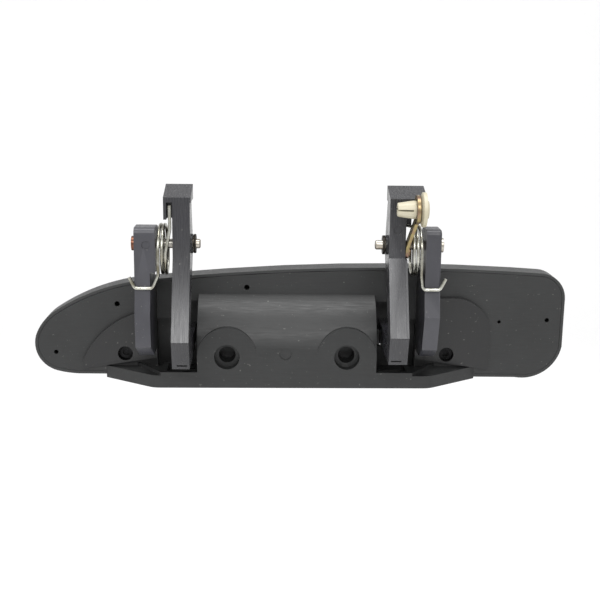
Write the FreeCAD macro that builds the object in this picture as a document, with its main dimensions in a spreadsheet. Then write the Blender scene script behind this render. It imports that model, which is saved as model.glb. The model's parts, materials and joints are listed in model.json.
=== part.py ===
import FreeCAD, Part
import math
import os
import re
import Sketcher
from FreeCAD import Matrix, Placement, Vector

# Exterior lift-flap door handle of a car, seen from its inner side.
# +Y points out of the door, -Y into it, +X to the right seen from inside, +Z up.
# The origin is midway between the two fixing screws, on the floor of their counterbores.

SIZES = [
    # fixing bosses
    ("bolt_spacing", 52.8), ("bolt_radius", 3.7), ("seat_radius", 5.6), ("seat_depth", 4.5),
    ("boss_radius", 13.2), ("post_radius", 7.6), ("post_end", 8.6), ("post_cap", 1.2),
    # finger cup and base plate
    ("cup_half", 39.5), ("cup_radius", 27.4), ("cup_wall", 2.4), ("cup_bottom", 14.1), ("cup_floor", 4.5),
    ("strip_half", 55.5), ("strip_top", -7.0), ("plate_back", 11.5), ("plate_wall", 2.5),
    ("left_gusset", 58.6), ("right_gusset", 63.0), ("gusset_reach", 23.0), ("gusset_wall", 5.6),
    ("gusset_bend", 9.0), ("rib_wall", 1.8), ("rib_lean", 12.0), ("window_step", 52.6),
    ("window_bottom", -10.2), ("window_low", 13.6), ("window_high", 21.8), ("window_ramp", 2.4),
    ("mark_x", -0.6), ("mark_z", 1.4), ("mark_radius", 2.7), ("mark_depth", 0.5), ("boss_lip", 4.8),
    # drain and gate holes in the plate
    ("drain_large", 1.2), ("drain_small", 1.0), ("drain_tiny", 0.8), ("drain1_x", -76.1),
    ("drain1_z", 20.1), ("drain2_x", -104.1), ("drain2_z", -2.3), ("drain3_x", -18.0), ("drain3_z", 28.0),
    ("drain4_x", 118.3), ("drain4_z", 13.5), ("drain5_x", 96.5), ("drain5_z", 12.6),
    # bezel: its overall reach, then each corner's distance in from the nearest edges
    ("bezel_left", 113.4), ("bezel_right", 126.0), ("bezel_top", 37.9), ("bezel_bottom", 13.6),
    ("crown_in", 10.6), ("crown_down", 2.8), ("shoulder_in", 47.5), ("shoulder_down", 7.0),
    ("nose_in", 9.5), ("nose_down", 21.2), ("chin_in", 1.0), ("chin_down", 31.2), ("heel_in", 9.6),
    ("heel_up", 2.6), ("sole_in", 21.6), ("sole_up", 1.1), ("foot_in", 21.0), ("foot_up", 0.1),
    ("side_in", 0.1), ("side_up", 14.6), ("corner_down", 14.3), ("crown_radius", 986.0),
    ("shoulder_radius", 90.4), ("nose_radius", 22.4), ("chin_radius", 13.0), ("heel_radius", 46.0),
    ("corner_radius", 11.9), ("foot_radius", 17.9), ("bezel_depth", 11.0), ("bezel_wall", 2.5),
    ("rim_wall", 1.3), ("ledge", 1.5), ("seat_gap", 0.15), ("opening_top", 23.5), ("opening_radius", 5.0),
    ("slot_low", -1.0), ("slot_high", 21.0), ("slot_gap", 1.2),
    # hinge
    ("pivot_back", 4.5), ("pivot_height", 50.5), ("pin_radius", 2.05), ("pin_head_radius", 3.15),
    ("pin_head", 2.0), ("pin_tip", 37.4), ("pin_chamfer", 0.5), ("running_gap", 0.05), ("bush_radius", 3.3),
    ("bush_flange", 0.6), ("bush_flange_radius", 4.2), ("nut_radius", 4.1), ("nut_wall", 1.1),
    ("nut_gap", 0.3),
    # brackets
    ("bracket_inner", 58.3), ("bracket_wall", 6.6), ("hub_radius", 8.0), ("hub_collar", 2.3),
    ("hub_round", 0.9), ("bracket_back", 14.1), ("bracket_crown", 2.5), ("bracket_neck", 31.0),
    ("bracket_slope", 7.0), ("bracket_knee_back", 16.6), ("bracket_knee", 21.0), ("left_shin_back", 15.6),
    ("left_shin", 7.4), ("right_shin_back", 12.0), ("right_shin", 5.6), ("bracket_toe", 3.0),
    ("bracket_foot", 0.5), ("flange_wall", 2.0), ("flange_outer", 92.0), ("flange_bottom", -4.4),
    ("flange_fall", 5.0), ("left_flange_top", 15.7), ("left_flange_run", 23.0), ("left_flange_drop", 21.7),
    ("left_flange_curve", 38.0), ("right_flange_top", 23.8), ("right_flange_run", 14.0),
    ("right_flange_drop", 12.0), ("right_flange_curve", 18.0), ("screw_x", 72.7), ("screw_z", -2.4),
    ("screw_recess", 3.3), ("screw_web", 1.1), ("spigot", 4.5), ("screw_head_radius", 2.9),
    ("screw_head", 1.2), ("screw_radius", 1.5), ("screw_length", 7.0), ("screw_socket", 1.3),
    ("screw_socket_depth", 0.7), ("screw_post", 4.0), ("screw_gap", 0.2),
    # swinging arms
    ("left_arm_inner", 41.3), ("left_arm_outer", 48.7), ("right_arm_inner", 42.6),
    ("right_arm_outer", 49.6), ("shank_pad", 1.0), ("arm_back", 13.5), ("elbow_back", 28.5),
    ("elbow", 12.7), ("heel_back", 23.5), ("leg_top", 9.0), ("right_leg_lift", 2.3), ("elbow_front", 18.0),
    ("elbow_rise", 15.5), ("elbow_run", 4.5), ("arm_front", 2.0), ("arm_neck_front", 3.5),
    ("head_front", 0.5), ("left_head_inner", 40.8), ("left_head_outer", 52.4), ("right_head_inner", 42.6),
    ("right_head_outer", 58.2), ("leg_wall", 1.3), ("leg_web_back", 8.0), ("elbow_step", 0.8),
    ("slit_inner", 1.0), ("slit_length", 4.4), ("slit_low", 1.3), ("slit_high", 1.9), ("slit_back", 25.5),
    ("slit_depth", 2.6), ("gate_radius", 1.8), ("left_gate_x", 59.9), ("right_gate_x", 46.1),
    ("apron_wall", 1.3), ("apron_outer", 53.6),
    # grip
    ("grip_half", 60.5), ("grip_low", -1.0), ("grip_high", 30.0), ("grip_wall", 5.5), ("grip_gap", 0.5),
    ("grip_radius", 6.0), ("grip_soft", 1.8), ("ear_gap", 0.05), ("ear_wall", 2.6), ("ear_clear", 0.5),
    ("ear_low", 1.0), ("ear_high", 8.0), ("arm_screw_radius", 1.3), ("arm_screw_head_radius", 2.4),
    ("arm_screw_head", 1.1), ("arm_screw_length", 8.0), ("stop_x", 50.0), ("stop_z", 26.9),
    ("stop_radius", 2.5), ("stop_stem", 1.5), ("stop_gap", 0.05),
    # rod lever and clip
    ("lever_wall", 1.5), ("lever_foot_back", 10.6), ("lever_foot_radius", 2.9), ("eye_x", 52.3),
    ("eye_back", 21.5), ("eye_radius", 6.1), ("lever_margin", 1.0), ("trim_margin", 1.0),
    ("rivet_radius", 1.2), ("rivet_head_radius", 2.1), ("rivet_head", 0.6), ("rivet_reach", 4.0),
    ("clip_bore", 1.6), ("clip_neck", 3.6), ("clip_shoulder", 3.75), ("clip_tip_radius", 2.8),
    ("clip_start", 44.7), ("clip_disc_radius", 7.2), ("clip_disc_wall", 1.5), ("clip_hub", 3.6),
    ("clip_rim", 0.4), ("clip_dish", 1.0), ("clip_barb", 1.4), ("clip_slot", 0.6), ("clip_slot_end", 51.0),
    ("clip_slot_reach", 8.0), ("clip_play", 0.1),
    # torsion springs
    ("wire_radius", 0.72), ("coil_radius", 10.35), ("coil_drop", 2.3), ("coil_gap", 0.16), ("wire_gap", 0.03),
    ("left_coil", 54.75), ("right_coil", 56.5), ("leg_gap", 0.18), ("leg_front", 0.0), ("anchor_x", 57.2),
    ("anchor_far", 64.6), ("anchor_tip", 67.0), ("bend_radius", 1.9),
    # heights above the hinge axis
    ("collar_low", -11.0), ("shank_pad_top", -4.9), ("arm_top", 20.5), ("arm_crease", -4.3),
    ("arm_front_low", -6.5), ("arm_front_high", 4.5), ("head_low", 18.7), ("head_rear", 21.0),
    ("head_high", 25.0), ("leg_wall_low", 11.5), ("left_gate_z", 0.7), ("right_gate_z", 7.8),
    ("lever_foot_z", -1.9), ("eye_z", 17.6), ("joggle_low", 0.7), ("joggle_high", 12.5), ("leg_run", -11.9),
    ("leg_rise", 17.7), ("anchor_z", -17.6), ("anchor_tip_z", -12.8), ("apron_low", 8.0),
]
NAMES = {name for name, value in SIZES}

doc = FreeCAD.newDocument("DoorHandle")
sheet = doc.addObject("Spreadsheet::Sheet", "Sizes")
for row, (name, value) in enumerate(SIZES, 1):
    sheet.set(f"A{row}", name)
    sheet.set(f"B{row}", str(value))
    sheet.setAlias(f"B{row}", name)
doc.recompute()


def bound(rule):
    """The rule with each size's name pointing at its cell."""
    return re.sub(r"[a-z_][a-z_0-9]*", lambda word: "Sizes." * (word[0] in NAMES) + word[0], str(rule))


def size(rule):
    """The rule's present value in millimetres."""
    return float(sheet.evalExpression(bound(rule)))


def flip(side, rule):
    """A distance across the handle, on the left (-1) or right (1)."""
    return f"{side}*({rule})"


def above(rise):
    """A height that is given from the hinge axis."""
    return f"(pivot_height+{rise})"


def span(side, near, far):
    """The lower and higher X of a stretch from near to far of the middle, on one side."""
    return (f"({near})", f"({far})") if side > 0 else (f"-({far})", f"-({near})")


# Levels into the door (Y) and heights (Z) that several pieces share
BOSS_FACE = "-seat_depth"
PLATE_FRONT = "(plate_back+plate_wall)"
BEZEL_FRONT = "(plate_back+bezel_depth)"
BEZEL_INSIDE = "(plate_back+bezel_depth-bezel_wall)"
GRIP_BACK = "(plate_back+bezel_depth+grip_gap)"
CUP_BOTTOM = "(-cup_bottom)"
CUP_FLOOR = "(cup_floor-cup_bottom)"
PIVOT_Y = "(-pivot_back)"
BRACKET_OUTER = "(bracket_inner+bracket_wall)"
SCREW_SEAT = "(plate_back+plate_wall-screw_web)"
EYE_OUTER = "(eye_x+lever_wall)"
COIL_Z = "(pivot_height-coil_drop)"
FOOT_Z = above("lever_foot_z")
EYE_Z = above("eye_z")
EAR_BACK = f"({PLATE_FRONT}+ear_clear)"
EAR_Y = f"(({EAR_BACK}+{BEZEL_FRONT})/2)"
EAR_Z = "((ear_low+ear_high)/2)"

# The two ends of the hinge, by the sign of X
SIDES = ((-1, "left"), (1, "right"))
ARM_INNER = {side: f"{word}_arm_inner" for side, word in SIDES}
ARM_OUTER = {side: f"{word}_arm_outer" for side, word in SIDES}
LEVER_OUTER = "(right_arm_outer+lever_wall)"
EAR_OUTER = {side: f"({word}_arm_inner-ear_gap)" for side, word in SIDES}


class Piece:
    """One moulded, stamped or turned piece, built as a PartDesign body."""

    PLANES = {"XY": "XY_Plane", "XZ": "XZ_Plane", "YZ": "YZ_Plane"}

    def __init__(self, label):
        self.body = doc.addObject("PartDesign::Body", "Body_" + label)
        self.body.Label = label
        self.body.Placement = Placement()
        self.count = 0

    def plane(self, name):
        return next(o for o in self.body.Origin.OriginFeatures if o.Role == self.PLANES[name])

    def sketch(self, plane, loops, offset):
        """A sketch of closed loops; offset is its place (X, Y, Z of the sketch's own axes)."""
        self.count += 1
        sketch = self.body.newObject("Sketcher::SketchObject", f"Sketch{self.count}_{self.body.Label}")
        sketch.AttachmentSupport = (self.plane(plane), [""])
        sketch.MapMode = "FlatFace"
        for axis, rule in zip("xyz", offset):
            sketch.setExpression(f"AttachmentOffset.Base.{axis}", bound(rule))
        for loop in loops:
            if loop[0] == "circle":
                add_circle(sketch, *loop[1:])
            else:
                add_loop(sketch, loop)
        return sketch

    def between(self, kind, plane, loops, low, high):
        """Fill (Pad) or clear (Pocket) the loops between two levels across the plane."""
        if plane == "XZ":
            low, high = f"-({high})", f"-({low})"
        start = low if kind == "Pad" else high
        sketch = self.sketch(plane, loops, ("0", "0", start))
        feature = self.body.newObject("PartDesign::" + kind, f"{kind}{self.count}_{self.body.Label}")
        feature.Profile = sketch
        feature.setExpression("Length", bound(f"({high})-({low})"))
        before = self.volume()
        doc.recompute()
        grown = self.body.Shape.Volume - before
        if kind == "Pocket" and grown >= 0 or kind == "Pad" and grown <= 0:
            raise ValueError(f"{feature.Label} changed nothing")

    def volume(self):
        return 0.0 if self.body.Shape.isNull() else self.body.Shape.Volume

    def fill(self, plane, loops, low, high):
        self.between("Pad", plane, loops, low, high)

    def cut(self, plane, loops, low, high):
        self.between("Pocket", plane, loops, low, high)

    def revolve(self, loop, place, kind="Revolution"):
        """Turn a loop, drawn along X and outwards, about the X axis through a place."""
        sketch = self.sketch("XY", [loop], place)
        feature = self.body.newObject("PartDesign::" + kind, f"{kind}{self.count}_{self.body.Label}")
        feature.Profile = sketch
        feature.ReferenceAxis = (sketch, ["H_Axis"])
        feature.Angle = 360
        doc.recompute()

    def soften(self, kind, rule, chosen):
        """Fillet or chamfer the edges that chosen() picks from the present shape."""
        tip = self.body.Tip
        edges = [f"Edge{i}" for i, edge in enumerate(tip.Shape.Edges, 1) if chosen(edge)]
        feature = self.body.newObject("PartDesign::" + kind, f"{kind}_{self.body.Label}")
        feature.Base = (tip, edges)
        feature.setExpression("Radius" if kind == "Fillet" else "Size", bound(rule))
        doc.recompute()


def add_circle(sketch, across, up, radius):
    """A circle with its centre and radius tied to the sheet."""
    circle = Part.Circle(Vector(size(across), size(up), 0), Vector(0, 0, 1), size(radius))
    edge = sketch.addGeometry(circle, False)
    tie(sketch, "DistanceX", across, -1, 1, edge, 3)
    tie(sketch, "DistanceY", up, -1, 1, edge, 3)
    tie(sketch, "Radius", radius, edge)


def add_loop(sketch, corners):
    """A closed outline; a corner with a third value starts an arc of that radius (minus: clockwise)."""
    points = [Vector(size(c[0]), size(c[1]), 0) for c in corners]
    ends = []
    for i, corner in enumerate(corners):
        start, end = points[i], points[(i + 1) % len(corners)]
        if len(corner) == 2:
            edge = sketch.addGeometry(Part.LineSegment(start, end), False)
            ends.append((edge, 1, 2))
            continue
        radius = size(corner[2])
        edge = sketch.addGeometry(corner_arc(start, end, radius), False)
        ends.append((edge, 1, 2) if radius > 0 else (edge, 2, 1))
        tie(sketch, "Radius", f"abs({corner[2]})", edge)
    for i, (edge, first, last) in enumerate(ends):
        after, after_first, _ = ends[(i + 1) % len(ends)]
        sketch.addConstraint(Sketcher.Constraint("Coincident", edge, last, after, after_first))
        tie(sketch, "DistanceX", corners[i][0], -1, 1, edge, first)
        tie(sketch, "DistanceY", corners[i][1], -1, 1, edge, first)


def corner_arc(start, end, radius):
    """The short arc from start to end, turning left for a positive radius."""
    if radius < 0:
        start, end, radius = end, start, -radius
    chord = end - start
    left = Vector(-chord.y, chord.x, 0).normalize()
    height = math.sqrt(max(radius ** 2 - (chord.Length / 2) ** 2, 0.0))
    centre = start + chord * 0.5 + left * height
    first = math.atan2(start.y - centre.y, start.x - centre.x)
    last = math.atan2(end.y - centre.y, end.x - centre.x)
    return Part.ArcOfCircle(Part.Circle(centre, Vector(0, 0, 1), radius), first, last)


def tie(sketch, kind, rule, *where):
    """A dimension whose value follows the sheet."""
    index = sketch.addConstraint(Sketcher.Constraint(kind, *where, size(rule)))
    sketch.setExpression(f"Constraints[{index}]", bound(rule))


def rounded(left, right, low, high, radius):
    """A rectangle with round corners."""
    return [
        (f"({left})+({radius})", low), (f"({right})-({radius})", low, radius),
        (right, f"({low})+({radius})"), (right, f"({high})-({radius})", radius),
        (f"({right})-({radius})", high), (f"({left})+({radius})", high, radius),
        (left, f"({high})-({radius})"), (left, f"({low})+({radius})", radius),
    ]


def box_loop(left, right, low, high):
    return [(left, low), (right, low), (right, high), (left, high)]


def disc(across, up, radius):
    return ("circle", across, up, radius)


def bezel_corners():
    """The handle's face outline from the top right round to the left: blunt right end, drooping nose."""
    return [
        ("bezel_right-crown_in", "bezel_top-crown_down", "crown_radius"),
        ("shoulder_in-bezel_left", "bezel_top-shoulder_down", "shoulder_radius"),
        ("nose_in-bezel_left", "bezel_top-nose_down", "nose_radius"),
        ("chin_in-bezel_left", "bezel_top-chin_down", "chin_radius"),
        ("heel_in-bezel_left", "heel_up-bezel_bottom", "heel_radius"),
        ("sole_in-bezel_left", "sole_up-bezel_bottom"),
        ("bezel_right-foot_in", "foot_up-bezel_bottom", "foot_radius"),
        ("bezel_right-side_in", "side_up-bezel_bottom"),
        ("bezel_right", "bezel_top-corner_down", "corner_radius"),
    ]


def end_directions(start, end, radius):
    """Headings in which an edge of the outline leaves its start and meets its end."""
    chord = end - start
    heading = math.atan2(chord.y, chord.x)
    bend = math.asin(chord.Length / 2 / radius) if radius else 0.0
    return heading - bend, heading + bend


def bezel_outline(inset):
    """The face outline moved inwards by inset, each corner square to the edges that meet there."""
    corners = bezel_corners()
    points = [Vector(size(corner[0]), size(corner[1]), 0) for corner in corners]
    headings = []
    for i, corner in enumerate(corners):
        radius = size(corner[2]) if len(corner) == 3 else 0.0
        headings.append(end_directions(points[i], points[(i + 1) % len(points)], radius))
    loop = []
    for i, (across, up, *radius) in enumerate(corners):
        leaves, meets = headings[i][0], headings[i - 1][1]
        inwards = Vector(-math.sin(leaves) - math.sin(meets), math.cos(leaves) + math.cos(meets), 0)
        inwards.normalize()
        corner = (f"{across}+({inset})*{inwards.x:.4f}", f"{up}+({inset})*{inwards.y:.4f}")
        loop.append(corner + tuple(f"{rule}-({inset})" for rule in radius))
    return loop


def front_bezel():
    """Outer trim shell: a face plate with a rim turned into the door, open at the finger cup."""
    piece = Piece("front_bezel")
    piece.fill("XZ", [bezel_outline("0")], "plate_back", BEZEL_FRONT)
    piece.cut("XZ", [bezel_outline("rim_wall")], "plate_back", PLATE_FRONT)
    piece.cut("XZ", [bezel_outline("rim_wall+ledge")], PLATE_FRONT, BEZEL_INSIDE)
    half = "(cup_half-cup_wall)"
    opening = rounded(f"-{half}", half, CUP_FLOOR, "opening_top", "opening_radius")
    piece.cut("XZ", [opening], BEZEL_INSIDE, BEZEL_FRONT)
    for side in (-1, 1):
        low, high = span(side, f"{half}-slot_gap", "right_arm_outer+shank_pad+slot_gap")
        piece.cut("XZ", [box_loop(low, high, "slot_low", "slot_high")], BEZEL_INSIDE, BEZEL_FRONT)
    posts = [disc(flip(side, "screw_x"), "screw_z", "screw_post") for side in (-1, 1)]
    piece.fill("XZ", posts, PLATE_FRONT, BEZEL_INSIDE)
    bores = [disc(flip(side, "screw_x"), "screw_z", "screw_radius") for side in (-1, 1)]
    piece.cut("XZ", bores, PLATE_FRONT, BEZEL_INSIDE)
    stems = [disc(flip(side, "stop_x"), "stop_z", "stop_stem") for side in (-1, 1)]
    piece.cut("XZ", stems, BEZEL_INSIDE, BEZEL_FRONT)
    return piece


def cup_loop(inset, floor, back):
    """Side view of the finger cup: flat low down, then an arc that leans forward to the plate."""
    radius = f"(cup_radius-({inset}))"
    middle = f"({BOSS_FACE}+cup_radius)"
    top = f"sqrt({radius}^2-({middle}-{back})^2)"
    start = f"{BOSS_FACE}+({inset})"
    return [(start, floor), (back, floor), (back, top, radius), (start, "0")]


def window_loop(side):
    """The slot beside the cup that an arm's leg passes through, taller next to the cup."""
    corners = [
        ("cup_half", "window_bottom"), ("bracket_inner", "window_bottom"), ("bracket_inner", "window_low"),
        ("window_step", "window_low"), ("window_step-window_ramp", "window_high"),
        ("cup_half", "window_high"),
    ]
    loop = [(flip(side, across), up) for across, up in corners]
    return loop if side > 0 else loop[::-1]


def gusset_loop(side, word):
    """Plan view of the foot of the wing: the strip's face bends forward and slants out to the plate."""
    near, bend = f"{word}_gusset", "gusset_bend"
    slope = "atan((plate_back+seat_depth)/gusset_reach)"
    tangent = f"({bend}*tan({slope}/2))"
    low = (f"{near}-{tangent}", BOSS_FACE, bend)
    high = (f"{near}+{tangent}*cos({slope})", f"{BOSS_FACE}+{tangent}*sin({slope})")
    tip, root = (f"{near}+gusset_reach", "plate_back"), ("cup_half", "plate_back")
    corners = [("cup_half", BOSS_FACE), low, high, tip, root]
    if side > 0:
        return corners
    mirrored = [(flip(side, corner[0]), corner[1]) for corner in corners[::-1]]
    return mirrored[:2] + [mirrored[2] + (bend,)] + mirrored[3:]


def rib_loop(side):
    """Plan view of the slanting rib that closes the trough behind a window."""
    near, far = "strip_half", "strip_half+rib_lean"
    corners = [
        (f"{near}-rib_wall", BOSS_FACE), (near, BOSS_FACE),
        (far, "plate_back"), (f"{far}-rib_wall", "plate_back"),
    ]
    loop = [(flip(side, across), up) for across, up in corners]
    return loop if side > 0 else loop[::-1]


DRAIN_HOLES = [
    ("drain1_x", "drain1_z", "drain_large"), ("drain2_x", "drain2_z", "drain_small"),
    ("drain3_x", "drain3_z", "drain_large"), ("drain4_x", "drain4_z", "drain_small"),
    ("drain5_x", "drain5_z", "drain_tiny"),
]


def housing_base():
    """Inner moulding: a plate that fills the bezel's rim, with the finger cup, windows and fixing bosses."""
    piece = Piece("housing_base")
    piece.fill("XZ", [bezel_outline("rim_wall+seat_gap")], "plate_back", PLATE_FRONT)
    piece.fill("YZ", [cup_loop("0", CUP_BOTTOM, "plate_back")], "-cup_half", "cup_half")
    strip = box_loop(BOSS_FACE, "plate_back", CUP_BOTTOM, "strip_top")
    piece.fill("YZ", [strip], "-strip_half", "strip_half")
    for side, word in SIDES:
        piece.fill("XY", [gusset_loop(side, word)], CUP_BOTTOM, f"{CUP_BOTTOM}+gusset_wall")
        piece.fill("XY", [rib_loop(side)], CUP_BOTTOM, "strip_top")
    inner = "cup_half-cup_wall"
    piece.cut("YZ", [cup_loop("cup_wall", CUP_FLOOR, PLATE_FRONT)], f"-({inner})", inner)
    piece.cut("XZ", [window_loop(side) for side in (-1, 1)], "plate_back", PLATE_FRONT)
    trough = [span(side, "cup_half", "strip_half-cup_wall") for side in (-1, 1)]
    loops = [box_loop(low, high, f"{CUP_BOTTOM}+cup_wall", "strip_top") for low, high in trough]
    piece.cut("XZ", loops, f"{BOSS_FACE}+cup_wall", "plate_back")
    bolts = [flip(side, "bolt_spacing/2") for side in (-1, 1)]
    piece.fill("XZ", [disc(x, "0", "boss_radius") for x in bolts], BOSS_FACE, f"{BOSS_FACE}+boss_lip")
    piece.fill("XZ", [disc(x, "0", "post_radius") for x in bolts], BOSS_FACE, "post_end+post_cap")
    piece.cut("XZ", [disc(x, "0", "seat_radius") for x in bolts], BOSS_FACE, "0")
    piece.cut("XZ", [disc(x, "0", "bolt_radius") for x in bolts], "0", "post_end")
    piece.cut("XZ", [disc("mark_x", "mark_z", "mark_radius")], BOSS_FACE, f"{BOSS_FACE}+mark_depth")
    holes = [disc(*hole) for hole in DRAIN_HOLES]
    holes += [disc(flip(side, "screw_x"), "screw_z", "spigot+seat_gap") for side in (-1, 1)]
    piece.cut("XZ", holes, "plate_back", PLATE_FRONT)
    return piece


def bracket_loop(word):
    """Side view of a hinge bracket: hub, straight neck, knee and a foot on the plate."""
    hub_front, top = "(hub_radius-pivot_back)", "(pivot_height+hub_radius)"
    return [
        ("plate_back", "bracket_foot"), ("plate_back", "bracket_neck"),
        (hub_front, "bracket_neck+bracket_slope"), (hub_front, "pivot_height", "hub_radius"), (PIVOT_Y, top),
        ("bracket_crown-bracket_back", top, "bracket_crown"), ("-bracket_back", f"{top}-bracket_crown"),
        ("-bracket_back", "bracket_neck"), ("-bracket_knee_back", "bracket_knee"),
        (f"-{word}_shin_back", f"{word}_shin"), ("-bracket_toe", "bracket_foot"),
    ]


def collar_loop():
    """Side view of the step on the left bracket's inner side, as high as the hub itself."""
    hub_front, top = "(hub_radius-pivot_back)", "(pivot_height+hub_radius)"
    return [
        ("-bracket_back", above("collar_low")), (hub_front, above("collar_low")),
        (hub_front, "pivot_height", "hub_radius"),
        (PIVOT_Y, top), ("bracket_crown-bracket_back", top, "bracket_crown"),
        ("-bracket_back", f"{top}-bracket_crown"),
    ]


def flange_loop(side, word):
    """The bracket's base flange: straight at the cup side, curving down to its outer end."""
    top, run, drop, curve = (f"{word}_flange_{part}" for part in ("top", "run", "drop", "curve"))
    start, end = ("flange_outer", f"{top}-{drop}"), (f"flange_outer-{run}", top)
    low = [("bracket_inner", "flange_bottom"), ("flange_outer", "flange_bottom-flange_fall")]
    if side > 0:
        return low + [start + (curve,), end, ("bracket_inner", top)]
    corners = low[:1] + [("bracket_inner", top), end + (curve,), start] + low[1:]
    return [(flip(side, corner[0]),) + corner[1:] for corner in corners]


def hinge_bracket(side, word):
    """Bracket that carries one end of the hinge, held to the base by one recessed screw."""
    piece = Piece(f"{word}_hinge_bracket")
    piece.fill("YZ", [bracket_loop(word)], *span(side, "bracket_inner", BRACKET_OUTER))
    piece.fill("XZ", [flange_loop(side, word)], "plate_back-flange_wall", "plate_back")
    if side < 0:
        piece.fill("YZ", [collar_loop()], *span(side, "bracket_inner-hub_collar", "bracket_inner"))
    outer, shoulder = side * size(BRACKET_OUTER), size("pivot_height")
    if side > 0:
        piece.soften("Fillet", "hub_round", lambda edge: edge.BoundBox.ZMin > shoulder - 1e-3
                     and abs(edge.BoundBox.XMin - outer) < 1e-3 and edge.BoundBox.XLength < 1e-3)
    pivot = [disc(PIVOT_Y, "pivot_height", "pin_radius")]
    near = "bracket_inner-hub_collar" if side < 0 else "bracket_inner"
    piece.cut("YZ", pivot, *span(side, near, BRACKET_OUTER))
    x = flip(side, "screw_x")
    piece.fill("XZ", [disc(x, "screw_z", "spigot")], "plate_back", PLATE_FRONT)
    piece.cut("XZ", [disc(x, "screw_z", "screw_recess")], "plate_back-flange_wall", SCREW_SEAT)
    piece.cut("XZ", [disc(x, "screw_z", "screw_radius+screw_gap")], SCREW_SEAT, PLATE_FRONT)
    if side < 0:
        gate = [disc(flip(side, "left_gate_x"), above("left_gate_z"), "gate_radius")]
        piece.cut("XZ", gate, "-bracket_back", "mark_depth-bracket_back")
    return piece


def bracket_screw(side, label):
    """Pan-head screw, driven from inside the door through bracket and base into the bezel's post."""
    piece = Piece(label)
    x = flip(side, "screw_x")
    piece.fill("XZ", [disc(x, "screw_z", "screw_head_radius")], f"{SCREW_SEAT}-screw_head", SCREW_SEAT)
    piece.fill("XZ", [disc(x, "screw_z", "screw_radius")], SCREW_SEAT, f"{SCREW_SEAT}+screw_length")
    socket = [disc(x, "screw_z", "screw_socket")]
    piece.cut("XZ", socket, f"{SCREW_SEAT}-screw_head", f"{SCREW_SEAT}-screw_head+screw_socket_depth")
    return piece


def pivot_pin(side, label):
    """Headed hinge pin, head outside the bracket, its chamfered tip past the push nut."""
    piece = Piece(label)
    head = [disc(PIVOT_Y, "pivot_height", "pin_head_radius")]
    shank = [disc(PIVOT_Y, "pivot_height", "pin_radius")]
    piece.fill("YZ", shank, *span(side, "pin_tip", BRACKET_OUTER))
    piece.fill("YZ", head, *span(side, BRACKET_OUTER, f"{BRACKET_OUTER}+pin_head"))
    tip_x = side * size("pin_tip")
    piece.soften("Chamfer", "pin_chamfer", lambda edge: abs(edge.CenterOfMass.x - tip_x) < 1e-3
                 and not edge.isSeam(tip_face(piece, tip_x)))
    return piece


def tip_face(piece, tip_x):
    """The flat end of the pin."""
    return next(face for face in piece.body.Tip.Shape.Faces if abs(face.CenterOfMass.x - tip_x) < 1e-3)


def push_nut(side, label):
    """Spring-steel retaining disc pressed on the pin."""
    piece = Piece(label)
    ring = [disc(PIVOT_Y, "pivot_height", "nut_radius"), disc(PIVOT_Y, "pivot_height", "pin_radius")]
    face = f"({ARM_INNER[side]}-bush_flange-nut_gap)"
    piece.fill("YZ", ring, *span(side, f"{face}-nut_wall", face))
    return piece


def pivot_bush(side, label):
    """Flanged bearing bush in the arm, turning on the pin."""
    piece = Piece(label)
    bore = disc(PIVOT_Y, "pivot_height", "pin_radius+running_gap")
    tube = [disc(PIVOT_Y, "pivot_height", "bush_radius"), bore]
    flange = [disc(PIVOT_Y, "pivot_height", "bush_flange_radius"), bore]
    inner = ARM_INNER[side]
    piece.fill("YZ", tube, *span(side, inner, ARM_OUTER[side]))
    piece.fill("YZ", flange, *span(side, f"{inner}-bush_flange", inner))
    return piece


def arm_loop(lift):
    """Side view of an arm: straight neck above, slanting shank, then a leg forward to the grip."""
    return [
        ("-arm_back", above("arm_top")), ("-arm_back", above("arm_crease")),
        ("-elbow_back", f"elbow+{lift}"),
        ("elbow_step-elbow_back", f"elbow+{lift}"), ("-heel_back", lift), (GRIP_BACK, lift),
        (GRIP_BACK, f"leg_top+{lift}"), ("elbow_run-elbow_front", f"leg_top+{lift}"),
        ("-elbow_front", f"elbow_rise+{lift}"),
        ("arm_front", above("arm_front_low")), ("arm_front", above("arm_front_high")),
        ("-arm_neck_front", above("arm_top")),
    ]


def shank_loop(lift):
    """Side view of the thicker part of the arm below the hinge."""
    return [
        ("-arm_back", above("shank_pad_top")), ("-elbow_back", f"elbow+{lift}"),
        ("elbow_step-elbow_back", f"elbow+{lift}"), ("-heel_back", lift), (GRIP_BACK, lift),
        (GRIP_BACK, f"leg_top+{lift}"), ("elbow_run-elbow_front", f"leg_top+{lift}"),
        ("-elbow_front", f"elbow_rise+{lift}"), ("-arm_neck_front", above("shank_pad_top")),
    ]


def head_loop():
    """Side view of the spring head on top of an arm, its upper face falling towards the rear."""
    return [
        ("-arm_back", above("head_low")), ("head_front", above("head_low")),
        ("head_front", above("head_high")), ("-arm_back", above("head_rear")),
    ]


def apron_loop():
    """Side view of the thin wall that hangs from the right head in front of the spring's leg."""
    back, low, top = "leg_front+wire_radius+leg_gap", above("apron_low"), above("head_low")
    front, crown = f"{back}+apron_wall", above("head_rear")
    return [(back, low), (front, low), (front, crown), ("head_front", crown), ("head_front", top), (back, top)]


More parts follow.
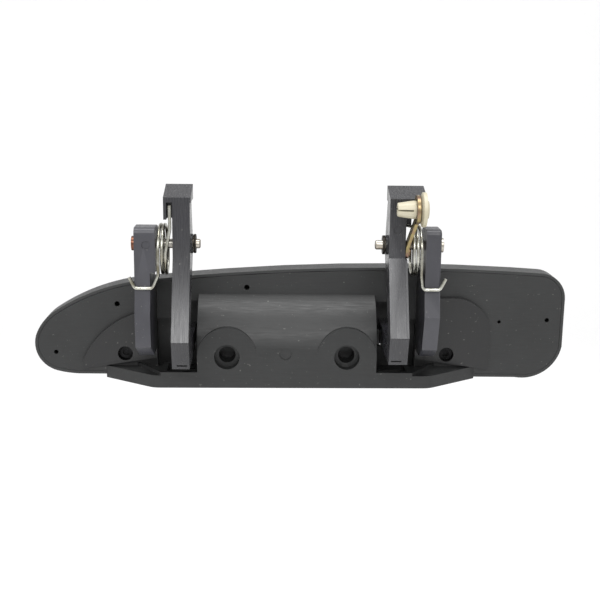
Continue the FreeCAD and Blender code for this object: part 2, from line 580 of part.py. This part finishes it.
def arm(side, word, lift):
    """Moulded lever arm with the bush bore, the spring head and the screw hole for the grip's ear."""
    piece = Piece(f"{word}_arm")
    inner, outer, head_outer = ARM_INNER[side], ARM_OUTER[side], f"{word}_head_outer"
    piece.fill("YZ", [arm_loop(lift)], *span(side, inner, outer))
    piece.fill("YZ", [head_loop()], *span(side, f"{word}_head_inner", head_outer))
    if side < 0:
        wall = box_loop("-arm_back", "head_front", above("leg_wall_low"), above("head_low"))
        piece.fill("YZ", [wall], *span(side, f"{head_outer}-leg_wall", head_outer))
        web = box_loop("-leg_web_back", "head_front", above("leg_wall_low"), above("head_low"))
        piece.fill("YZ", [web], *span(side, outer, head_outer))
    else:
        piece.fill("YZ", [shank_loop(lift)], outer, f"{outer}+shank_pad")
        piece.fill("YZ", [apron_loop()], outer, "apron_outer")
        gate = [disc("right_gate_x", above("right_gate_z"), "gate_radius")]
        piece.cut("XZ", gate, "-arm_back", "mark_depth-arm_back")
    piece.cut("YZ", [disc(PIVOT_Y, "pivot_height", "bush_radius")], *span(side, inner, outer))
    low, high = span(side, f"{inner}+slit_inner", f"{inner}+slit_inner+slit_length")
    slit = box_loop(low, high, f"slit_low+{lift}", f"slit_high+{lift}")
    piece.cut("XZ", [slit], "-slit_back", "slit_depth-slit_back")
    hole = [disc(EAR_Y, EAR_Z, "arm_screw_radius")]
    piece.cut("YZ", hole, *span(side, inner, f"{EAR_OUTER[side]}-ear_wall+arm_screw_length"))
    if side > 0:
        rivet = [disc("-lever_foot_back", FOOT_Z, "rivet_radius")]
        piece.cut("YZ", rivet, f"{outer}-rivet_reach", outer)
    return piece


def grip():
    """Lift flap that the fingers pull, with an ear beside each arm's leg."""
    piece = Piece("grip")
    face = rounded("-grip_half", "grip_half", "grip_low", "grip_high", "grip_radius")
    piece.fill("XZ", [face], GRIP_BACK, f"{GRIP_BACK}+grip_wall")
    for side in (-1, 1):
        ear = span(side, f"{EAR_OUTER[side]}-ear_wall", EAR_OUTER[side])
        piece.fill("YZ", [box_loop(EAR_BACK, GRIP_BACK, "ear_low", "ear_high")], *ear)
        piece.cut("YZ", [disc(EAR_Y, EAR_Z, "arm_screw_radius")], *ear)
    front = size(f"{GRIP_BACK}+grip_wall")
    piece.soften("Fillet", "grip_soft", lambda edge: abs(edge.BoundBox.YMin - front) < 1e-3)
    return piece


def arm_screw(side, label):
    """Screw from the grip's ear into the arm's leg."""
    piece = Piece(label)
    seat = f"({EAR_OUTER[side]}-ear_wall)"
    head = [disc(EAR_Y, EAR_Z, "arm_screw_head_radius")]
    piece.fill("YZ", head, *span(side, f"{seat}-arm_screw_head", seat))
    shank = [disc(EAR_Y, EAR_Z, "arm_screw_radius")]
    piece.fill("YZ", shank, *span(side, seat, f"{seat}+arm_screw_length"))
    return piece


def bump_stop(side, label):
    """Rubber button in the bezel that the closed grip rests on."""
    piece = Piece(label)
    x = flip(side, "stop_x")
    piece.fill("XZ", [disc(x, "stop_z", "stop_stem")], BEZEL_INSIDE, BEZEL_FRONT)
    piece.fill("XZ", [disc(x, "stop_z", "stop_radius")], BEZEL_FRONT, f"{GRIP_BACK}-stop_gap")
    return piece


def rod_lever():
    """Stamped steel lever riveted to the right arm, joggled outwards to the eye that holds the rod clip."""
    piece = Piece("rod_lever")
    low, high = f"{FOOT_Z}-lever_foot_radius-lever_margin", f"{EYE_Z}+eye_radius+lever_margin"
    strip = [
        ("right_arm_outer", low), (LEVER_OUTER, low), (LEVER_OUTER, above("joggle_low")),
        (EYE_OUTER, above("joggle_high")), (EYE_OUTER, high), ("eye_x", high),
        ("eye_x", above("joggle_high")),
        ("right_arm_outer", above("joggle_low")),
    ]
    rear, front = "-eye_back-eye_radius-lever_margin", "lever_foot_radius-lever_foot_back+lever_margin"
    piece.fill("XZ", [strip], rear, front)
    frame = box_loop(f"{rear}-trim_margin", f"{front}+trim_margin",
                     f"{low}-trim_margin", f"{high}+trim_margin")
    across = ("right_arm_outer", EYE_OUTER)
    piece.cut("YZ", [frame, lever_outline()], *across)
    piece.cut("YZ", [disc("-eye_back", EYE_Z, "clip_neck+running_gap")], *across)
    piece.cut("YZ", [disc("-lever_foot_back", FOOT_Z, "rivet_radius")], *across)
    return piece


def lever_outline():
    """A parallel-sided shank with a round foot, running into a round eye."""
    foot = Vector(size("-lever_foot_back"), size(FOOT_Z), 0)
    eye = Vector(size("-eye_back"), size(EYE_Z), 0)
    along = eye - foot
    lean = math.atan2(along.y, along.x)
    spread = math.asin(size("lever_foot_radius") / size("eye_radius"))
    foot_turns = (math.pi / 2, math.pi, -math.pi / 2)
    eye_turns = (spread - math.pi, -math.pi / 2, 0.0, math.pi / 2, math.pi - spread)
    ends = (("-lever_foot_back", FOOT_Z, "lever_foot_radius", foot_turns),
            ("-eye_back", EYE_Z, "eye_radius", eye_turns))
    loop = []
    for across, up, radius, turns in ends:
        for turn in turns:
            angle = lean + turn
            point = (f"{across}+{radius}*{math.cos(angle):.5f}", f"{up}+{radius}*{math.sin(angle):.5f}")
            loop.append(point if turn == turns[-1] else point + (radius,))
    return loop


def lever_rivet():
    """Rivet that holds the lever's foot to the arm."""
    piece = Piece("lever_rivet")
    place = ("-lever_foot_back", FOOT_Z)
    piece.fill("YZ", [disc(*place, "rivet_radius")], "right_arm_outer-rivet_reach", LEVER_OUTER)
    piece.fill("YZ", [disc(*place, "rivet_head_radius")], LEVER_OUTER, f"{LEVER_OUTER}+rivet_head")
    return piece


def rod_clip():
    """Nylon clip that snaps into the lever's eye and takes the end of the latch rod: a dished disc,
    a neck in the eye and a tapered, slotted barrel."""
    piece = Piece("rod_clip")
    place = ("0", "-eye_back", EYE_Z)
    inside = "(eye_x-clip_play)"
    outside = f"({EYE_OUTER}+clip_play)"
    profile = [
        ("clip_start", "clip_bore"), (f"{outside}+clip_hub", "clip_bore"),
        (f"{outside}+clip_hub", "clip_neck"), (f"{outside}+clip_disc_wall+clip_rim", "clip_neck+clip_dish"),
        (f"{outside}+clip_disc_wall+clip_dish", "clip_disc_radius"),
        (f"{outside}+clip_dish", "clip_disc_radius"),
        (outside, "clip_neck+clip_dish"), (outside, "clip_neck"), (inside, "clip_neck"),
        (inside, "clip_shoulder"), (f"{inside}-clip_barb", "clip_shoulder"),
        ("clip_start", "clip_tip_radius"),
    ]
    piece.revolve(profile, place)
    rear, front = "-eye_back-clip_slot_reach", "clip_slot_reach-eye_back"
    slot = box_loop(rear, front, f"{EYE_Z}-clip_slot/2", f"{EYE_Z}+clip_slot/2")
    piece.cut("YZ", [slot], "clip_start", "clip_slot_end")
    return piece


# Turns of the coil: the left one ends at the rear, level with its axis, the right one on top of it
TURNS = {-1: 2.0, 1: 2.25}


def spring_path(side):
    """Centre line of a right-hand spring: hook round the bracket, turns about the hinge, leg up the arm."""
    radius, pitch, bend = size("coil_radius"), size("2*wire_radius+coil_gap"), size("bend_radius")
    axis_y, axis_z, rise = size(PIVOT_Y), size(COIL_Z), size(above("leg_rise"))
    leg_x = size(f"{ARM_OUTER[side]}+wire_radius+leg_gap")
    rear = axis_y - radius
    start = Vector(size(f"{dict(SIDES)[side]}_coil"), rear, axis_z)
    coil = Part.makeHelix(pitch, pitch * TURNS[side], radius)
    coil = coil.transformGeometry(Matrix(0, 0, -1, start.x, -1, 0, 0, axis_y, 0, 1, 0, axis_z, 0, 0, 0, 1))
    back, anchor_z = -size("bracket_back+wire_gap+wire_radius"), size(above("anchor_z"))
    anchor = [
        Vector(size("anchor_tip"), back, size(above("anchor_tip_z"))),
        Vector(size("anchor_far"), back, anchor_z), Vector(size("anchor_x"), back, anchor_z),
        Vector(start.x, rear, size(above("leg_run"))), start,
    ]
    end_x = start.x - pitch * TURNS[side]
    if side < 0:
        middle = (axis_z + rise) / 2
        leg = [Vector(end_x, rear, axis_z), Vector(leg_x, rear, middle), Vector(leg_x, rear, rise)]
    else:
        front, top = size("leg_front"), axis_z + radius
        leg = [Vector(end_x, axis_y, top), Vector(leg_x, front, top), Vector(leg_x, front, rise)]
    return bent(anchor, bend) + coil.Edges + bent(leg, bend)


def bent(points, bend):
    """Straight runs joined by round bends."""
    edges, last = [], points[0]
    for before, corner, after in zip(points, points[1:], points[2:]):
        back, ahead = (before - corner).normalize(), (after - corner).normalize()
        half = back.getAngle(ahead) / 2
        reach = min(bend / math.tan(half), 0.45 * (before - corner).Length, 0.45 * (after - corner).Length)
        radius = reach * math.tan(half)
        middle = corner + (back + ahead).normalize() * (radius / math.sin(half) - radius)
        first, second = corner + back * reach, corner + ahead * reach
        edges += [Part.LineSegment(last, first).toShape(), Part.Arc(first, middle, second).toShape()]
        last = second
    return edges + [Part.LineSegment(last, points[-1]).toShape()]


def torsion_spring(side, label):
    """Round-wire torsion spring, swept along its centre line; the left one mirrors the right."""
    edges = spring_path(side)
    path = Part.Wire(edges)
    start = edges[0].valueAt(edges[0].FirstParameter)
    circle = Part.Circle(start, edges[0].tangentAt(edges[0].FirstParameter), size("wire_radius"))
    sweep = Part.BRepOffsetAPI.MakePipeShell(path)
    sweep.setFrenetMode(True)
    sweep.add(Part.Wire([circle.toShape()]))
    sweep.build()
    sweep.makeSolid()
    shape = sweep.shape()
    feature = doc.addObject("Part::Feature", "Wire_" + label)
    feature.Label = label
    feature.Shape = shape if side > 0 else shape.mirror(Vector(0, 0, 0), Vector(1, 0, 0))
    feature.Placement = Placement()
    return feature


def build():
    """Every sub-part of the handle."""
    pieces = [front_bezel(), housing_base(), grip(), rod_lever(), lever_rivet(), rod_clip()]
    pieces += [arm(-1, "left", "0"), arm(1, "right", "right_leg_lift")]
    for side, word in SIDES:
        pieces.append(hinge_bracket(side, word))
        pieces.append(bracket_screw(side, f"{word}_bracket_screw"))
        pieces.append(pivot_pin(side, f"{word}_pivot_pin"))
        pieces.append(push_nut(side, f"{word}_push_nut"))
        pieces.append(pivot_bush(side, f"{word}_pivot_bush"))
        pieces.append(arm_screw(side, f"{word}_arm_screw"))
        pieces.append(bump_stop(side, f"{word}_bump_stop"))
    features = [piece.body for piece in pieces]
    return features + [torsion_spring(side, f"{word}_torsion_spring") for side, word in SIDES]


def check(features):
    """Stop if any object failed or any sub-part has no valid solid."""
    doc.recompute()
    for item in doc.Objects:
        if "Invalid" in item.State or "Error" in item.State:
            raise ValueError(f"{item.Label} failed: {item.State}")
    for feature in features:
        if feature.Shape.isNull() or not feature.Shape.isValid() or len(feature.Shape.Solids) != 1:
            raise ValueError(f"{feature.Label} is not one valid solid")


def write(features):
    os.makedirs("parts", exist_ok=True)
    for feature in features:
        feature.Shape.exportStep(f"parts/{feature.Label}.step")


features = build()
check(features)
write(features)
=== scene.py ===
"""Exterior lift-flap door handle, seen from inside the door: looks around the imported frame.

The frame's axes: X along the handle, +Y out of the door, Z up; lengths here are in metres.
"""
import json
import math

import bmesh
import bpy
import numpy as np
from mathutils import Matrix, Vector


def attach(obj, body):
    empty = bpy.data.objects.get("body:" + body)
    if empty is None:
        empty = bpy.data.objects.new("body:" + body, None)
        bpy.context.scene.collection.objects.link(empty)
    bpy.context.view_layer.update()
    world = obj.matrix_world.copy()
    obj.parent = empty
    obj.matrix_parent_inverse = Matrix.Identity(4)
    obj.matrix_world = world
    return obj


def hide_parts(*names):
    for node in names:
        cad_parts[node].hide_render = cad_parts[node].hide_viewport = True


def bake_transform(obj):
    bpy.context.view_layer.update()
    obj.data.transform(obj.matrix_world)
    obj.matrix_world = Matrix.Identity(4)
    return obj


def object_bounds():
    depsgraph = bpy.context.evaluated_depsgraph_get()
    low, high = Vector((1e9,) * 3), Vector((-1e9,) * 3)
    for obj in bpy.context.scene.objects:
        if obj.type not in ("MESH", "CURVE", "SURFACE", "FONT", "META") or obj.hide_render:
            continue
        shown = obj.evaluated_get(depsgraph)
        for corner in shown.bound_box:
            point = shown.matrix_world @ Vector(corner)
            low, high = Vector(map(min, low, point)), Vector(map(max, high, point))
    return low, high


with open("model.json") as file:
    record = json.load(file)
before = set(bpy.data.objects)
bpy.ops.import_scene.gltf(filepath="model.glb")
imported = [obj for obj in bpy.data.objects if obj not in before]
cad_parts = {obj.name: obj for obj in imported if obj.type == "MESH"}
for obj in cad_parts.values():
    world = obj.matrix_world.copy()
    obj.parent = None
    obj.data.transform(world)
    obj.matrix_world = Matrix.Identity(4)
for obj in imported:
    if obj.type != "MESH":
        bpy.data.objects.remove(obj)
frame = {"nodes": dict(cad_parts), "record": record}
CAD_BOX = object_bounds()
MM = 0.001
SEAM = 0.002 * MM


# ---------------------------------------------------------------- colour and node helpers

def linear(code):
    """An sRGB hex colour as linear red, green, blue and full alpha."""
    parts = [int(code[i:i + 2], 16) / 255.0 for i in (1, 3, 5)]
    return tuple(c / 12.92 if c <= 0.04045 else ((c + 0.055) / 1.055) ** 2.4 for c in parts) + (1.0,)


def add(tree, kind, inputs=None, **settings):
    """Add a shader node, set its properties, and set or link its inputs."""
    node = tree.nodes.new("ShaderNode" + kind)
    for name, value in settings.items():
        setattr(node, name, value)
    for name, value in (inputs or {}).items():
        socket = next(i for i in node.inputs if i.name == name and i.enabled)
        if isinstance(value, bpy.types.NodeSocket):
            tree.links.new(value, socket)
        else:
            socket.default_value = value
    return node


def new_material(name):
    """A material with a surface shader; returns the material, its tree, the shader and Object coordinates."""
    material = bpy.data.materials.new(name)
    material.use_nodes = True
    tree = material.node_tree
    shader = next(n for n in tree.nodes if n.type == "BSDF_PRINCIPLED")
    place = add(tree, "TexCoord").outputs["Object"]
    return material, tree, shader, place


def mix_colours(tree, factor, first, second):
    """Blend from a first colour, hex or a socket, to a second hex colour by a factor."""
    start = linear(first) if isinstance(first, str) else first
    return add(tree, "Mix", {"Factor": factor, "A": start, "B": linear(second)},
               data_type="RGBA").outputs["Result"]


def rising(tree, value, low, high, start=0.0, end=1.0):
    """A value that goes from start to end while another goes from low to high."""
    limits = {"Value": value, "From Min": low, "From Max": high, "To Min": start, "To Max": end}
    return add(tree, "MapRange", limits).outputs["Result"]


# ---------------------------------------------------------------- materials

def moulded_plastic(name, base, pale, roughness, grain_mm, grain_depth, rub=(1, 1, 1), rub_mm=0.6, dust=0.0,
                    painted_shade_near_plate=None):
    """Moulded thermoplastic: faint cloudy flow marks in the colour, a fine eroded grain in the bump, a sheen
    rubbed in streaks along one direction and a few pale specks of dust, so broad faces never look like flat
    paint. rub stretches the streaks; dust is how strong the specks are; the darker colour given last is
    painted on towards the base plate as painted shade, standing in for the shade that falls near it."""
    material, tree, shader, place = new_material(name)
    clouds = add(tree, "TexNoise", {"Vector": place, "Scale": 1 / (26 * MM), "Detail": 5.0, "Roughness": 0.6})
    fine = add(tree, "TexNoise", {"Vector": place, "Scale": 1 / (grain_mm * MM), "Detail": 3.0})
    along = add(tree, "Mapping", {"Vector": place, "Scale": rub}).outputs["Vector"]
    streaks = add(tree, "TexNoise", {"Vector": along, "Scale": 1 / (rub_mm * MM), "Detail": 4.0})
    colour = mix_colours(tree, rising(tree, clouds.outputs["Fac"], 0.35, 0.7), base, pale)
    # Painted shade: the colour darkens towards the base plate (larger Y), standing in for the shade that
    # falls there.
    if painted_shade_near_plate:
        depth = add(tree, "SeparateXYZ", {"Vector": place}).outputs["Y"]
        colour = mix_colours(tree, rising(tree, depth, -8 * MM, 7 * MM), colour, painted_shade_near_plate)
    flecks = add(tree, "TexNoise", {"Vector": place, "Scale": 1 / (1.3 * MM), "Detail": 2.0})
    dusty = mix_colours(tree, rising(tree, flecks.outputs["Fac"], 0.7, 0.76, end=dust), colour, "#8a8984")
    tree.links.new(dusty, shader.inputs["Base Color"])
    rough = rising(tree, streaks.outputs["Fac"], 0.3, 0.7, roughness - 0.07, roughness + 0.08)
    tree.links.new(rough, shader.inputs["Roughness"])
    bump = add(tree, "Bump", {"Height": fine.outputs["Fac"], "Strength": 0.35, "Distance": grain_depth * MM})
    rubbed = add(tree, "Bump", {"Height": streaks.outputs["Fac"], "Normal": bump.outputs["Normal"],
                                "Strength": 0.2, "Distance": 0.008 * MM})
    tree.links.new(rubbed.outputs["Normal"], shader.inputs["Normal"])
    shader.inputs["IOR"].default_value = 1.53
    return material


def plated_steel(name, base, tint, roughness, mark_mm, along, rust=None):
    """Zinc-plated steel: drawn or rolled marks along the work, patchy passivation tint and dull highlights;
    rust is the colour that the left end has turned."""
    material, tree, shader, place = new_material(name)
    drawn = add(tree, "Mapping", {"Vector": place, "Scale": along}).outputs["Vector"]
    marks = add(tree, "TexNoise", {"Vector": drawn, "Scale": 1 / (mark_mm * MM), "Detail": 4.0})
    patches = add(tree, "TexNoise", {"Vector": place, "Scale": 1 / (6 * MM), "Detail": 3.0})
    colour = mix_colours(tree, rising(tree, patches.outputs["Fac"], 0.38, 0.66), base, tint)
    if rust:
        across = add(tree, "SeparateXYZ", {"Vector": place}).outputs["X"]
        colour = mix_colours(tree, rising(tree, across, -63 * MM, -66 * MM), colour, rust)
    tree.links.new(colour, shader.inputs["Base Color"])
    rough = rising(tree, marks.outputs["Fac"], 0.3, 0.7, roughness - 0.07, roughness + 0.1)
    tree.links.new(rough, shader.inputs["Roughness"])
    bump = add(tree, "Bump", {"Height": marks.outputs["Fac"], "Strength": 0.3, "Distance": 0.02 * MM})
    tree.links.new(bump.outputs["Normal"], shader.inputs["Normal"])
    shader.inputs["Metallic"].default_value = 1.0
    return material


EVEN = (1.0, 1.0, 1.0)
# The mouldings are near black and differ mostly in sheen: the base broad and soft, the arms glossier with
# streaks along them, the brackets a little greyer. The metals are small, bright and patchy by contrast.
MATERIALS = {
    "housing": moulded_plastic("glass_filled_nylon_moulded", "#121313", "#1b1c1c", 0.5, 0.35, 0.03,
                               rub=(0.08, 1.0, 1.0), dust=0.3),
    "bezel": moulded_plastic("textured_abs_moulded", "#1b1c1c", "#222323", 0.5, 0.45, 0.05, dust=0.2),
    "arm": moulded_plastic("glass_filled_nylon_satin", "#1f1f21", "#2b2b2f", 0.28, 0.3, 0.02,
                           rub=(1.0, 0.1, 0.06), rub_mm=0.45, dust=0.35),
    # The brackets darken towards the base plate: painted shade, not a real change of colour.
    "bracket": moulded_plastic("glass_filled_nylon_bracket", "#2f2f34", "#3c3c42", 0.4, 0.3, 0.02,
                               rub=(1.0, 0.1, 0.06), rub_mm=0.45, dust=0.3, painted_shade_near_plate="#0d0d0e"),
    "bush": moulded_plastic("acetal_bush", "#121213", "#181819", 0.4, 0.4, 0.02),
    "rubber": moulded_plastic("moulded_rubber", "#101010", "#161616", 0.75, 0.5, 0.03),
    "clip": moulded_plastic("natural_nylon_moulded", "#aea78f", "#bfb9a6", 0.42, 0.6, 0.03),
    "pin": plated_steel("zinc_plated_pin", "#b5b2aa", "#8f8373", 0.3, 0.5, (0.2, 4.0, 4.0), rust="#6e4a3a"),
    "spring": plated_steel("zinc_plated_spring_wire", "#b4b4ac", "#7d7868", 0.28, 0.6, EVEN),
    "nut": plated_steel("phosphated_push_nut", "#3b3732", "#26231f", 0.5, 0.6, EVEN),
    "screw": plated_steel("black_passivated_screw", "#2b2b2c", "#161616", 0.4, 0.6, EVEN),
    "lever": plated_steel("yellow_zinc_stamped_steel", "#9a9060", "#80625c", 0.34, 0.7, (1.0, 1.0, 0.4)),
    "rivet": plated_steel("yellow_zinc_rivet", "#8f8058", "#7a5f4c", 0.38, 0.7, EVEN),
}
NODE_MATERIAL = {
    "front_bezel": "bezel", "grip": "bezel", "housing_base": "housing", "rod_lever": "lever",
    "lever_rivet": "rivet", "rod_clip": "clip",
}
for word in ("left", "right"):
    for part, key in (("arm", "arm"), ("hinge_bracket", "bracket"), ("bracket_screw", "screw"),
                      ("arm_screw", "screw"), ("pivot_pin", "pin"), ("push_nut", "nut"),
                      ("pivot_bush", "bush"), ("bump_stop", "rubber"), ("torsion_spring", "spring")):
        NODE_MATERIAL[f"{word}_{part}"] = key
for node, key in NODE_MATERIAL.items():
    mesh = frame["nodes"][node].data
    mesh.materials.clear()
    mesh.materials.append(MATERIALS[key])


# ---------------------------------------------------------------- softened mouldings

BODY_OF = {node: body for body, nodes in frame["record"]["behaviour"]["bodies"].items() for node in nodes}


def stand_in(node, suffix, turn=25.0):
    """A copy of a CAD node with its seams merged and its flat runs of triangles joined, smooth but for edges
    that turn further than the given angle; it takes the node's material, slot and place on show."""
    work = bmesh.new()
    work.from_mesh(frame["nodes"][node].data)
    bmesh.ops.remove_doubles(work, verts=work.verts, dist=SEAM)
    bmesh.ops.dissolve_limit(work, angle_limit=math.radians(1.0), verts=work.verts, edges=work.edges)
    mesh = bpy.data.meshes.new(node + suffix)
    work.to_mesh(mesh)
    work.free()
    mesh.shade_smooth()
    mesh.set_sharp_from_angle(angle=math.radians(turn))
    key = NODE_MATERIAL[node]
    mesh.materials.append(MATERIALS[key])
    obj = bpy.data.objects.new(node + suffix, mesh)
    bpy.context.collection.objects.link(obj)
    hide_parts(node)
    return obj


def softened(node, width, turn=25.0):
    """A stand-in for a CAD node with small bevels along its edges."""
    obj = stand_in(node, "_soft", turn)
    bevel = obj.modifiers.new("edge_rounding", "BEVEL")
    bevel.width = width * MM
    bevel.segments = 3
    bevel.limit_method = "ANGLE"
    bevel.angle_limit = math.radians(turn)
    bevel.harden_normals = True
    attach(obj, BODY_OF[node])


def winding_spring(node):
    """A stand-in for a torsion spring, smooth but for turns sharper than 60 degrees, with its place baked
    into its mesh."""
    obj = stand_in(node, "_wire", turn=60.0)
    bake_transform(obj)


SOFT_EDGES = {
    "front_bezel": 0.3, "housing_base": 0.3, "grip": 0.2, "left_arm": 0.45, "right_arm": 0.45,
    "left_hinge_bracket": 0.45, "right_hinge_bracket": 0.45, "rod_lever": 0.2, "rod_clip": 0.2,
    "left_pivot_pin": 0.2, "right_pivot_pin": 0.2, "left_push_nut": 0.12, "right_push_nut": 0.12,
    "left_bracket_screw": 0.15, "right_bracket_screw": 0.15,
}
for node, width in SOFT_EDGES.items():
    softened(node, width)
winding_spring("left_torsion_spring")
winding_spring("right_torsion_spring")


# ---------------------------------------------------------------- stage, light and camera

def floor():
    """A wide pale table that curves up into a backdrop behind the handle: a flat run from -reach to back
    along Y, a quarter round of radius bend (Y = back + bend sin t, Z = bend - bend cos t), then a wall."""
    drop = 0.3
    low = CAD_BOX[0][2] - drop
    reach, back, bend, top = 3.0, 1.2, 0.6, 2.6
    turn = np.linspace(0, math.pi / 2, 24)
    side = np.concatenate([[[-reach, 0.0]], np.c_[back + bend * np.sin(turn), bend - bend * np.cos(turn)],
                           [[back + bend, top]]])
    rows = len(side)
    points = np.empty((2, rows, 3))
    points[:, :, 0] = np.array([[-reach], [reach]])
    points[:, :, 1] = side[:, 0]
    points[:, :, 2] = low + side[:, 1]
    row = np.arange(rows - 1)
    faces = np.c_[row, row + rows, row + rows + 1, row + 1]
    mesh = bpy.data.meshes.new("floor")
    mesh.from_pydata(points.reshape(-1, 3).tolist(), [], faces.tolist())
    mesh.shade_smooth()
    obj = bpy.data.objects.new("floor", mesh)
    bpy.context.collection.objects.link(obj)
    material, tree, shader, place = new_material("matt_white_sweep")
    shader.inputs["Base Color"].default_value = linear("#f4f4f4")
    shader.inputs["Roughness"].default_value = 0.9
    mesh.materials.append(material)


def softbox(name, place, target, size, power):
    """A square studio light that points at a target."""
    light = bpy.data.lights.new(name, "AREA")
    light.shape = "RECTANGLE"
    light.size, light.size_y = size
    light.energy = power
    obj = bpy.data.objects.new(name, light)
    obj.matrix_world = (Matrix.Translation(place)
                        @ (Vector(target) - Vector(place)).to_track_quat("-Z", "Y").to_matrix().to_4x4())
    bpy.context.collection.objects.link(obj)


def studio():
    """Even white surroundings with one broad light above, so faces that look up are the brightest."""
    world = bpy.data.worlds.new("studio")
    world.use_nodes = True
    world.node_tree.nodes["Background"].inputs["Color"].default_value = (1, 1, 1, 1)
    world.node_tree.nodes["Background"].inputs["Strength"].default_value = 0.74
    bpy.context.scene.world = world
    bpy.context.scene.view_settings.view_transform = "Standard"
    softbox("top_light", (0, -0.1, 1.3), (0, 0, 0), (1.5, 0.55), 17)
    softbox("rear_light", (-0.1, -1.25, 0.8), (0, 0, 0.02), (1.4, 0.3), 13)


def camera():
    """Camera behind the handle, a little above it, level but for a slight roll."""
    azimuth, elevation, roll = math.radians(-1.66), math.radians(12.71), math.radians(0.67)
    back = Vector((math.sin(azimuth) * math.cos(elevation), -math.cos(azimuth) * math.cos(elevation),
                   math.sin(elevation)))
    right = Vector((math.cos(azimuth), math.sin(azimuth), 0))
    up = back.cross(right)
    tilted = right * math.cos(roll) + up * math.sin(roll)
    up = up * math.cos(roll) - right * math.sin(roll)
    data = bpy.data.cameras.new("camera")
    data.sensor_width = 36.0
    data.lens = 64.3
    data.clip_start = 0.01
    obj = bpy.data.objects.new("camera", data)
    place = Vector((-7.73, -458.81, 128.44)) * MM
    obj.matrix_world = Matrix.Translation(place) @ Matrix((tilted, up, back)).transposed().to_4x4()
    bpy.context.collection.objects.link(obj)
    bpy.context.scene.camera = obj


floor()
studio()
camera()
